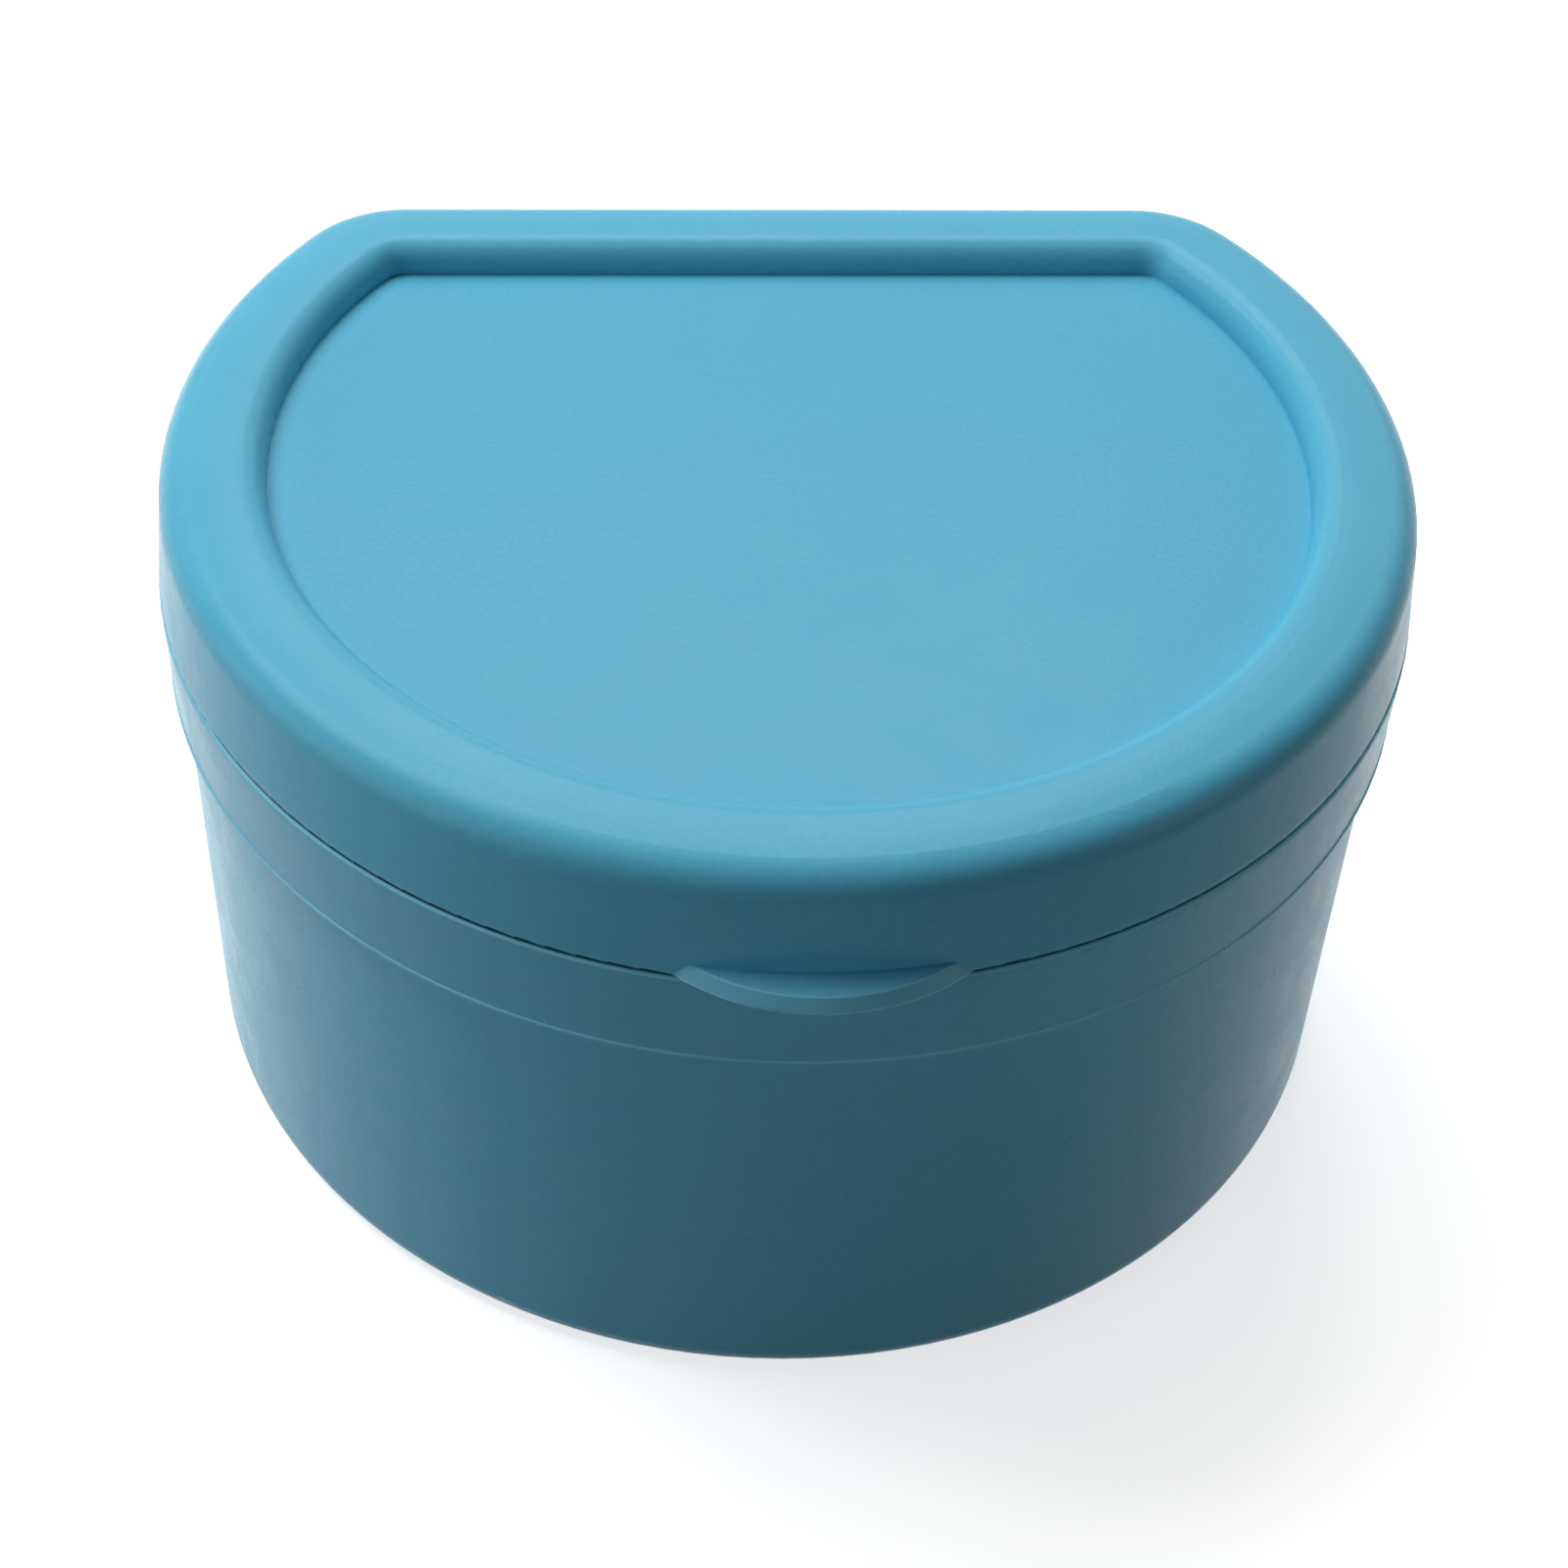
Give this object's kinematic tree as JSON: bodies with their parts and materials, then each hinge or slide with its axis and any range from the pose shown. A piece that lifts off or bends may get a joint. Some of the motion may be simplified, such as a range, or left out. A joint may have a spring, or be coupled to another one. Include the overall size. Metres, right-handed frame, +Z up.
{
  "type": "denture case",
  "caption": "D-shaped moulded storage case for a denture: tapered tub with a collar, hinged lid with a sunk top panel and front thumb tab, and a perforated drain basket.",
  "frame": {"origin": "centre of the footprint box, on the surface the case stands on", "axes": "+X to the right across the round sides, the round front with its thumb tab towards -Y, the flat hinged back towards +Y, +Z up"},
  "size_m": [0.0902, 0.086, 0.0507],
  "materials": {
    "shell": "satin light blue, fine moulded grain",
    "pin": "drawn steel",
    "basket": "satin white"
  },
  "bodies": {
    "tub": {"tub": "shell", "hinge_pin": "pin"},
    "lid": {"lid": "shell"},
    "basket": {"basket": "basket"}
  },
  "joints": [
    {"name": "lid_hinge", "type": "hinge", "parent": "tub", "child": "lid", "pos_m": [0, 0.03957, 0.0417], "axis": [-1, 0, 0], "range_deg": [0, 120]},
    {"name": "basket_lift", "type": "slide", "parent": "tub", "child": "basket", "axis": [0, 0, 1], "range_m": [0, 0.006]}
  ]
}
